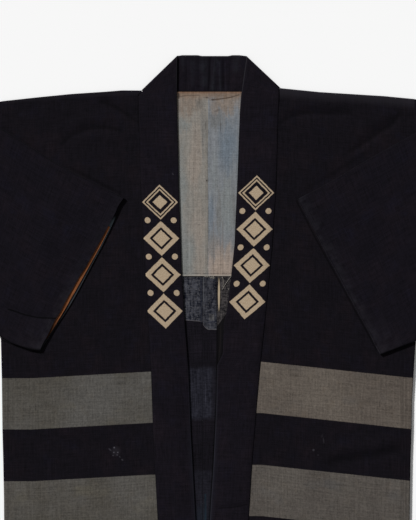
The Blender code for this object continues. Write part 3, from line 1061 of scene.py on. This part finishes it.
# On the tuck: a brown strip, and two near-black lines of painted shade, in its crease and beside the right
# band's free edge; marks as on the back's inside.
TUCK_MARKS_AND_SHADE = [
    ([(220.6, 326), (220.4, 344), (219.6, 352)], 0.7, 0.7, 0.22, (38, 31, 29)),
    ([(223.6, 330), (222.4, 352), (217.6, 365.5)], 1.6, 0.8, 0.85, (5, 4, 6)),
    ([(217.9, 326), (217.8, 352), (217, 366)], 1.6, 0.8, 0.85, (5, 4, 6)),
]
TEAL_LINE = [(205.2, 495), (205.6, 540)]
# a painted shadow along the right band's free edge, on the back's inside
BAND_PAINTED_SHADOW = [
    (216.9, 270), (216.9, 330), (216.6, 366), (215.9, 404), (213.2, 460), (209.4, 519), (203.2, 654),
]
BLOCK_SEAM_PX = 202.6


def indigo_inside():
    """The wrong side of the body: faded blue behind the stripes, and a worn block below the lining's hem."""
    look = Look("indigo_inside")
    colour = look.blend(look.noise(30, 12, 61, 4, 0.65).ramp(0.4, 0.7), (15, 13, 18), (20.5, 17.5, 23.5))
    colour = colour.shade(threads(look, 0.9))
    uneven = look.v + (look.noise(120, 60, 63, 3) - 0.5) * 0.009
    streaky = look.noise(300, 30, 62, 4, 0.75).ramp(0.36, 0.66)
    rows_of_blue = look.noise(120, 380, 66, 4, 0.75).ramp(0.36, 0.66)
    blue = look.blend(streaky * 0.55 + rows_of_blue * 0.45, (13, 13, 19), (43, 43, 52))
    fade_right = look.x.ramp(x_of(213), x_of(210.5)) * 0.6 + 0.4
    for (low, high), strength in zip(STRIPES, (1, 0.5)):
        inside = uneven.between((low - 2 * HALF_LENGTH) * MM, (high - 2 * HALF_LENGTH) * MM, 0.005)
        colour = colour.tint(inside * fade_right * strength, blue)
    teal = (look.line(TEAL_LINE, 2.8, 1.2) * 0.9).most(look.spot(201, 522, 15, 36, hard=0) * 0.3)
    colour = colour.tint(teal * (streaky * 0.7 + 0.3), (24, 40, 50))
    for points, width, soft, strength, tone in STREAKS:
        colour = colour.tint(look.line(points, width, soft) * streaky * strength, tone)
    # the worn block: its left half ends higher than its right half, whose lower corner is rounded
    seam = x_of(BLOCK_SEAM_PX)
    x, y = look.x, look.ragged(look.y, 200, 64, 0.7)
    above_left = y - (y_of(320.6) - (x - x_of(186)) * 0.09)
    corner = (x_of(209.2) - x).most(0)
    above_right = y - (y_of(330) + corner * corner * 85)
    on_right = x.ramp(seam + 0.0002, seam + 0.0008)
    above = above_left * (1.0 - on_right) + above_right * on_right
    mottled = look.laid(380, 60, 65, 3, 0.75) * 0.36 + look.laid(90, 400, 67, 3, 0.75) * 0.34
    mottled = mottled + look.laid(110, 60, 68, 2, 0.6) * 0.3
    worn = look.blend(mottled.ramp(0.4, 0.62), (11, 14, 25), (74, 75, 82))
    worn = worn.shade(0.8 + look.laid(28, 22, 60, 3, 0.6).ramp(0.38, 0.62) * 0.36)
    worn = worn.tint(look.laid(420, 420, 69, 2, 0.7).ramp(0.55, 0.7) * 0.45, (114, 111, 109))
    colour = colour.tint(above.ramp(0, 0.0009), worn.darken(on_right * 0.22))
    colour = colour.tint(above.away(0.0009).ramp(0.0009, 0.0001) * 0.55, (96, 92, 94))
    pale = x.between(x_of(209.2), x_of(214.2), 0.0006) * look.y.between(y_of(320.4), y_of(314.2), 0.0008)
    colour = colour.tint(pale * mottled.ramp(0.35, 0.6) * 0.42, (104, 102, 98))
    colour = marked(look, colour, BLOCK_MARKS)
    colour = colour.tint(x.away(seam).ramp(0.0009, 0.0002) * 0.6, (10, 10, 13))
    # painted shadow beside the right band's free edge
    colour = colour.darken(look.line(BAND_PAINTED_SHADOW, 1.8, 0.8) * 0.8)
    return look.finish(colour, *COTTON)


def tuck_cloth():
    """The fold beside the worn block: cream at its edge, greyed above, nearly black below."""
    look = Look("tuck_cloth")
    colour = look.blend(look.noise(300, 40, 61.5, 3), (10, 9, 11), (16, 14, 16))
    end = y_of(323) - (look.x - x_of(219.7)) * -1.35
    above = (look.ragged(look.y, 220, 95, 0.8) - end).ramp(0, 0.0012)
    mottled = look.laid(400, 120, 96, 3, 0.75) * 0.5 + look.laid(120, 400, 97, 3, 0.75) * 0.5
    colour = colour.tint(above, look.blend(mottled.ramp(0.4, 0.62), (17, 16, 19), (72, 68, 68)))
    colour = marked(look, colour, TUCK_MARKS_AND_SHADE)
    # the cream sliver: widest at its middle and pointed at both ends
    rise = (look.y - y_of(294.5)) * (1 / (28.5 * MM))
    half = (1.0 - rise * rise).most(0) * 0.0018
    depth = half - look.ragged(look.x, 120, 98, 0.25).away(x_of(218.95))
    outline = depth.ramp(-0.0012, -0.0004) * half.ramp(0, 0.0003) * 0.75
    cream = look.blend(look.laid(500, 120, 99, 2, 0.7), (146, 128, 104), (186, 172, 148))
    colour = colour.tint(outline, (17, 15, 18)).tint(depth.ramp(-0.0001, 0.0004), cream)
    return look.finish(colour, *COTTON)


# The printed column on each side of the collar band, in millimetres.
PRINT_MIDDLE = 30.5  # from the free edge
PRINT_TOP = 267.5  # along the left band; the right band's is higher
PRINT_RIGHT_SHIFT = 14.5
PRINT_CELL = 57.0
PRINT_CELLS = 4
LOZENGE = (28.2, 27.4)  # half width and half height
FINE_RINGS = [(0, 2.2), (4.4, 6.6), (11.8, 40)]  # depths inside the first lozenge that are printed
BOLD_RINGS = [(0, 6.9), (10.4, 40)]  # and inside the others
DOT_SIDE = 20.5  # from the column's middle
DOT_RIM = (4.9, 4.3)
PRINT_END = 300  # along the band; nothing is printed past it


def printed(look):
    """Where the cream print covers: lozenges one above another, with round dots between them."""
    along_it = PRINT_TOP * MM - (look.v - look.u.ramp(-0.0001, 0.0001) * (PRINT_RIGHT_SHIFT * MM))
    side = (look.u.away() - PRINT_MIDDLE * MM).away()
    wobble = (look.noise(170, 170, 71, 3) - 0.5) * 0.0017
    cell = along_it * (1 / (PRINT_CELL * MM))
    index = cell.math("FLOOR")
    down = (cell - index - 0.5) * (PRINT_CELL * MM)
    spread = side * (1 / (LOZENGE[0] * MM)) + down.away() * (1 / (LOZENGE[1] * MM))
    depth = (1.0 - spread) * (LOZENGE[0] * MM / math.sqrt(2)) + wobble

    def rings(pairs):
        drawn = [depth.between(outer * MM, inner * MM, 0.00035) for outer, inner in pairs]
        covered = drawn[0]
        for ring in drawn[1:]:
            covered = covered.most(ring)
        return covered

    first = index.ramp(0.5, 0.4)
    inside = index.between(-0.5, PRINT_CELLS - 0.5, 0.1)
    lozenges = (rings(FINE_RINGS) * first + rings(BOLD_RINGS) * (1.0 - first)) * inside
    to_corner = ((cell + 0.5).math("FRACT") - 0.5) * (PRINT_CELL * MM)
    to_dot = side - DOT_SIDE * MM
    to_middle = (to_dot * to_dot + to_corner * to_corner).math("SQRT")
    dots = (to_middle + wobble).ramp(*(rim * MM for rim in DOT_RIM))
    covered = lozenges.most(dots * cell.between(0.3, PRINT_CELLS - 0.3, 0.01))
    return covered * look.v.ramp(PRINT_END * MM, (PRINT_END - 1) * MM)


# Painted shade in the troughs and painted highlights on the ridges of the band's puckers behind the neck, and
# a
# painted shadow of the left band: (points in pixels, width, strength, whether it is a highlight).
NECK_PAINTED_SHADING = [
    ([(210.6, 55), (210, 74), (208.6, 92)], 3.4, 0.5, False),
    ([(223.6, 60), (224.1, 76), (224.4, 92)], 2, 0.45, False),
    ([(186.4, 56), (186.8, 92)], 2.2, 0.3, False), ([(198.4, 57), (198.8, 80)], 1.8, 0.3, False),
    ([(229.4, 64), (230, 84)], 1.6, 0.25, False), ([(178.6, 55), (178.9, 91)], 2.4, 0.75, False),
    ([(203.4, 60), (204.6, 84)], 12, 0.12, True), ([(216.5, 60), (214, 76), (212.4, 91)], 7, 0.13, True),
    ([(219.5, 62), (220.6, 91)], 4, 0.1, True), ([(192.6, 60), (192.6, 84)], 8, 0.06, True),
    ([(182.4, 58), (183, 70)], 6, 0.1, True), ([(236.6, 57), (236, 70)], 12, 0.1, True),
]


def collar_cloth():
    look = Look("indigo_collar")
    colour = indigo_base(look, (16.5, 13.5, 19.5), (20.5, 16, 21.5), (18, 15.5, 24))
    neck = look.v.ramp(0.475, 0.5)
    colour = colour.tint(look.noise(40, 30, 72, 3).ramp(0.45, 0.75) * neck * 0.3, (27, 26, 34))
    mottling = look.laid(130, 90, 75, 3, 0.7).ramp(0.25, 0.65)
    # painted highlights on the puckers' ridges and painted shade in their troughs
    for points, width, strength, light in NECK_PAINTED_SHADING:
        share = look.shading_line(points, width) * neck * strength
        colour = colour.tint(share * mottling, (60, 66, 72)) if light else colour.tint(share, (4, 3, 6))
    # painted shade along the band's free edge, deeper beside the lining, and along its seam edge below the
    # neck
    shade_beside_lining = look.y.ramp(0.37, 0.34) * look.y.ramp(0.10, 0.12)
    colour = colour.darken(look.edge_a.ramp(0.0012, 0.0004) * (shade_beside_lining * 0.5 + 0.2))
    colour = colour.darken(look.edge_b.ramp(0.0022, 0.0006) * (1.0 - neck) * 0.3)
    # the lower free edges are lighter: wear, and a painted highlight where they catch the light
    worn_and_lit_edge = look.edge_a.ramp(0.0024, 0.0006) * look.y.ramp(0.02, -0.08) * 0.13
    bluer = look.edge_a.ramp(0.009, 0.001) * look.y.ramp(-0.08, -0.16) * 0.2
    colour = colour.tint(worn_and_lit_edge, (58, 60, 68)).tint(bluer, (31, 33, 42))
    grain = look.noise(620, 620, 73, 3, 0.75).ramp(0.32, 0.7)
    colour = colour.tint(printed(look), look.blend(grain, (150, 130, 106), (180, 163, 140)))
    flecks = look.laid(500, 250, 74, 2, 0.6).ramp(0.5, 0.66)
    colour = colour.tint(look.spot(171.5, 174, 4.5, 2) * flecks * 0.7, (86, 84, 90))
    lit_edge = look.edge_a.between(0.0002, 0.0016, 0.0005) * look.y.ramp(0.38, 0.44) * 0.25
    colour = colour.tint(lit_edge, (58, 58, 62))
    return look.finish(paint_shade_lines(look, colour, COLLAR_PAINTED_SHADE), *COTTON)


GREY, BROWNED, DARK, DULL = (115, 119, 118), (121, 109, 99), (94, 93, 90), (103, 102, 100)
WARM, BLUE, PALE = (135, 125, 116), (96, 106, 116), (144, 130, 119)
# Broad casts on the lining: (centre in pixels, half sizes in millimetres, screen colour, strength).
LINING_CASTS = [
    (180, 200, 16, 130, GREY, 0.8), (189, 104, 34, 28, BROWNED, 0.85), (198, 103, 11, 14, DARK, 0.6),
    (183, 124, 22, 12, GREY, 0.7), (196, 158, 17, 85, WARM, 0.8), (198, 236, 15, 80, WARM, 0.6),
    (186, 256, 24, 60, GREY, 0.75), (204, 130, 7, 75, DULL, 0.6), (201, 268, 10, 20, WARM, 0.5),
    (226, 102, 36, 28, BROWNED, 0.9), (215, 120, 20, 22, DARK, 0.55), (228, 148, 26, 62, BLUE, 0.75),
    (227, 146, 10, 26, BLUE, 0.2), (214, 172, 11, 60, GREY, 0.4), (227, 206, 20, 70, GREY, 0.7),
    (211, 216, 7, 55, BLUE, 0.65), (219, 215, 5, 70, DULL, 0.6), (235, 214, 6, 60, DULL, 0.5),
    (223, 272, 44, 66, PALE, 1), (213, 248, 10, 20, DULL, 0.5),
]
# Small dark stains on it, and spots of painted shade in its creases:
# (centre in pixels, half sizes in millimetres, tilt, strength).
LINING_STAINS_AND_SHADE = [
    (206.7, 180.5, 1.5, 1.8, 0, 0.8), (205.6, 125.4, 1, 8, 0, 0.5), (217, 110.6, 6.5, 2, 22, 0.4),
    (207, 97.4, 3, 1.6, 0, 0.6), (212.6, 99.6, 3.2, 1.7, 0, 0.7), (178.9, 96, 1.8, 6, 0, 0.7),
    (220.6, 127, 1.2, 11, 0, 0.4), (199, 101, 2, 9, 0, 0.25),
]
# Painted shade along its creases: marks as on the back's inside.
LINING_CREASE_SHADE = [
    ([(213, 100), (222, 98.6), (230.5, 97.3), (239, 94.8)], 1.3, 0.8, 0.75, (58, 50, 45)),
    ([(212.6, 99.8), (222, 98.8), (232, 97)], 1.4, 1.2, 0.5, (74, 56, 42)),
    ([(176, 97.2), (186, 95.4), (199, 95.2)], 1, 0.9, 0.6, (70, 60, 54)),
    ([(213.7, 222), (213.4, 274)], 1.4, 0.9, 0.3, (96, 84, 77)),
    ([(222.8, 222), (222.9, 276)], 1.4, 0.9, 0.3, (96, 84, 77)),
]
# Faint warm and cool clouds: (noise, factors of red, green and blue).
LINING_CLOUDS = [
    ((90, 45, 79, 4, 0.75), (1.06, 0.98, 0.9)),
    ((80, 40, 78, 4, 0.75), (0.9, 0.99, 1.08)),
]
LINING_TOP_PX = 92
LINING_SEAM_PX = 206
STITCHES_UP, HEM_LIT = 4.2, (2.6, 1.2)  # millimetres above the lining's hem


def lining_cloth():
    """Thin faded cotton in two widths, with uneven casts, a stained top and a hand-sewn hem."""
    look = Look("faded_lining")
    true_x, true_y = look.x, look.y
    seam = 0.0005 + (look.laid(8, 12, 80, 1, 0.5) - 0.5) * 0.003
    left_side = (true_x - seam).ramp(0.0004, -0.0004)
    colour = look.blend(left_side, (114, 117, 121), (124, 120, 114))
    look.x = true_x + (look.laid(60, 16, 81, 5, 0.75) - 0.5) * 0.03
    look.y = true_y + (look.laid(150, 14, 82, 4, 0.75) - 0.5) * 0.09
    for *place, tone, strength in LINING_CASTS:
        side = left_side if place[0] < LINING_SEAM_PX else 1.0 - left_side
        cast = look.spot(*place, hard=0)
        colour = colour.tint(cast * cast * side * strength, tone)
    look.x, look.y = true_x, true_y
    top = y_of(LINING_TOP_PX)
    stained = look.ragged(true_y, 110, 83, 3.5).ramp(top - 0.015, top - 0.004)
    burnt = look.ragged(true_y, 90, 77, 1.2).ramp(top - 0.0035, top - 0.0008)
    colour = colour.tint(stained * 0.8, (116, 97, 82)).tint(burnt * 0.6, (112, 82, 62))
    cloudy = (look.laid(170, 100, 88, 4, 0.7) - 0.5) * 0.8
    warp = (look.laid(430, 11, 84, 3, 0.6) - 0.5) * 0.75
    weft = (look.laid(24, 500, 85, 2, 0.6) - 0.5) * 0.45
    grain = (look.laid(430, 430, 89, 1, 0.5) - 0.5) * 0.6
    colour = colour.shade(1.0 + cloudy + warp + weft + grain)
    for waves, factors in LINING_CLOUDS:
        colour = colour.tint(look.laid(*waves).ramp(0.5, 0.75) * 0.35, colour.cast(*factors))
    for *place, strength in LINING_STAINS_AND_SHADE:
        colour = colour.tint(look.spot(*place) * strength, (50, 44, 41))
    colour = marked(look, colour, LINING_CREASE_SHADE)
    broken = look.laid(10, 90, 87, 2, 0.6).ramp(0.3, 0.65)
    seam_line = true_x.away(seam).ramp(0.0011, 0.0002) * broken * true_y.ramp(0.39, 0.35)
    hem_y = look.ragged(true_y, 40, 90, 0.5)
    stitched = hem_y.away((LINING_HEM_Y + STITCHES_UP) * MM).ramp(0.0009, 0.0002)
    stitched = stitched * look.laid(300, 10, 86, 1, 0.5).ramp(0.38, 0.5)
    colour = colour.tint(seam_line * 0.5, (66, 68, 72)).tint(stitched * 0.6, (60, 58, 60))
    hem = hem_y.ramp(*((LINING_HEM_Y + up) * MM for up in HEM_LIT))
    return look.finish(colour.tint(hem * 0.5, (154, 149, 141)), *THIN_COTTON)


def facing_cloth():
    look = Look("brown_facing")
    colour = look.blend(look.noise(50, 900, 91, 3).ramp(0.3, 0.7), (84, 48, 26), (128, 77, 44))
    colour = colour.shade(threads(look, 0.35)).darken(look.rows(315, 331) * 0.8)
    return look.finish(colour, *BROWN_COTTON)


def thread_look():
    look = Look("loose_thread")
    return look.finish(look.blend(look.laid(900, 900, 92), (112, 108, 104), (166, 160, 150)), *LOOSE_COTTON)


# ---------------------------------------------------------------- stage, light and camera
# Lengths here are in metres, apart from the sensor's, and angles in degrees.
CAMERA_HEIGHT = 2.6  # above the front's cloth
SENSOR_MM = 24.0
KEY_ELEVATION = 29.0  # above the floor
KEY_AZIMUTH = 138.0  # round from +x
KEY_STRENGTH = 4.75
KEY_SPREAD = 7.0
KEY_DISTANCE = 3
ROOM_STRENGTH = 0.24
FLOOR_SIZE = 12
FLOOR_LEVEL = -0.0004
FLOOR_TONE = (250, 250, 250)


def stage():
    bpy.ops.mesh.primitive_plane_add(size=FLOOR_SIZE, location=(0, 0, FLOOR_LEVEL))
    floor = bpy.context.object
    floor.name = "floor"
    floor.data.materials.append(Look("pale_floor").finish(FLOOR_TONE, *DULL_FLOOR))


def lights():
    world = bpy.data.worlds.new("soft_room")
    world.use_nodes = True
    background = world.node_tree.nodes["Background"]
    background.inputs["Color"].default_value = (1, 1, 1, 1)
    background.inputs["Strength"].default_value = ROOM_STRENGTH
    bpy.context.scene.world = world
    bpy.context.scene.view_settings.view_transform = "Standard"
    data = bpy.data.lights.new("key", "SUN")
    data.energy = KEY_STRENGTH
    data.angle = math.radians(KEY_SPREAD)
    lamp = add_object("key", data)
    a, e = math.radians(KEY_AZIMUTH), math.radians(KEY_ELEVATION)
    towards = Vector((math.cos(a) * math.cos(e), math.sin(a) * math.cos(e), math.sin(e)))
    lamp.rotation_euler = (-towards).to_track_quat("-Z", "Y").to_euler()
    lamp.location = towards * KEY_DISTANCE


def camera():
    data = bpy.data.cameras.new("camera")
    data.sensor_fit = "VERTICAL"
    data.sensor_height = SENSOR_MM
    data.lens = SENSOR_MM * CAMERA_HEIGHT / (FRAME_PX[1] * PIXEL_MM * MM)
    made = add_object("camera", data)
    made.location = (x_of(FRAME_PX[0] / 2), y_of(FRAME_PX[1] / 2), CAMERA_HEIGHT + FRONT_LEVEL * MM)
    bpy.context.scene.camera = made


camera()
lights()
stage()

collar_look = collar_cloth()
inside_look = indigo_inside()
# Tones of the stripes, and factors for the lower one; specks (pixel, half sizes, tilt, strength); seam lines
# by their u; and the painted sheen, a highlight along the shoulder (points in pixels, softness, strength).
left_look = indigo_body(
    "indigo_left",
    ((72, 69, 64), (80, 78, 75), (84, 80, 70), (0.98, 0.97, 0.96)),
    [
        (114.2, 447.6, 1.5, 1.7, 0, 0.6), (113.9, 452.4, 1.5, 1.5, 0, 0.45),
        (117.8, 452.4, 1.4, 1.5, 0, 0.5), (113.1, 455.4, 1.5, 1.3, 0, 0.26),
        (117.2, 454.9, 1.6, 1.2, 0, 0.3), (119.8, 456.8, 2.2, 1.2, -45, 0.18),
        (122.3, 459.8, 2.4, 1.6, -30, 0.22), (110, 449.6, 4, 1.6, -40, 0.18), (116, 451, 9, 10, 0, 0.06),
    ],
    (313.5,),
    ([(3, 101), (37, 98.5), (71, 96), (105, 94), (140, 93)], 6, 0.08),
    LEFT_PAINTED_SHADE,
)
right_look = indigo_body(
    "indigo_right",
    ((83, 76, 70), (92, 85, 78), (79, 76, 74), (0.82, 0.86, 0.9)),
    [
        (313.5, 450, 2.4, 2.4, 0, 0.22), (323.6, 440.5, 1.4, 6, 8, 0.1),
        (322, 436, 1.2, 4, -10, 0.06), (318, 455, 2, 1.2, 0, 0.1),
    ],
    (303.5, 306.6, 311.3),
    ([(281, 90), (314, 92.5), (347, 94.5), (380, 97.5), (430, 102)], 17, 0.24),
    RIGHT_PAINTED_SHADE,
)
sleeve_looks = [indigo_sleeve(), sleeve_inside()]
lining_look = lining_cloth()
loose_look = thread_look()

band = collar(collar_look)
bodies = [body(side, [look, inside_look]) for side, look in ((LEFT, left_look), (RIGHT, right_look))]
sleeves = [sleeve(side, sleeve_looks) for side in (LEFT, RIGHT)]
linings = [lining(side, lining_look) for side in (LEFT, RIGHT)]
facing = cuff_facing(LEFT, facing_cloth())
tuck = back_tuck(tuck_cloth())
LOOSE_ENDS = [
    [(231.3, 276.2, 2.6), (228.6, 279.6, 2.5), (225.2, 284.6, 2.4), (222.5, 289.3, 2.2)],
    [(222.6, 276.8, 2.4), (223.3, 281.5, 2.2), (223, 286.5, 2.2)],
    [(228.2, 288.2, 2.2), (228.7, 289.6, 2.25)],
]
FRAY = [
    [(209.6, 276, 2.2), (210.2, 277.4, 2), (211.6, 278.3, 1.7)],
    [(211, 276.2, 2.2), (212.2, 277.9, 2), (214.3, 278.4, 1.7)],
    [(212.6, 276.2, 2.2), (213.2, 277.6, 1.9)],
    [(214, 276, 2.2), (213.6, 277.2, 2), (214.6, 278, 1.8)],
    [(204.2, 276.2, 2.2), (206, 276.9, 2.2), (208.4, 276.7, 2.2)],
]
loose_ends = thread("loose_threads", LOOSE_ENDS, 0.3, loose_look)
fray = thread("hem_fray", FRAY, 0.35, loose_look)
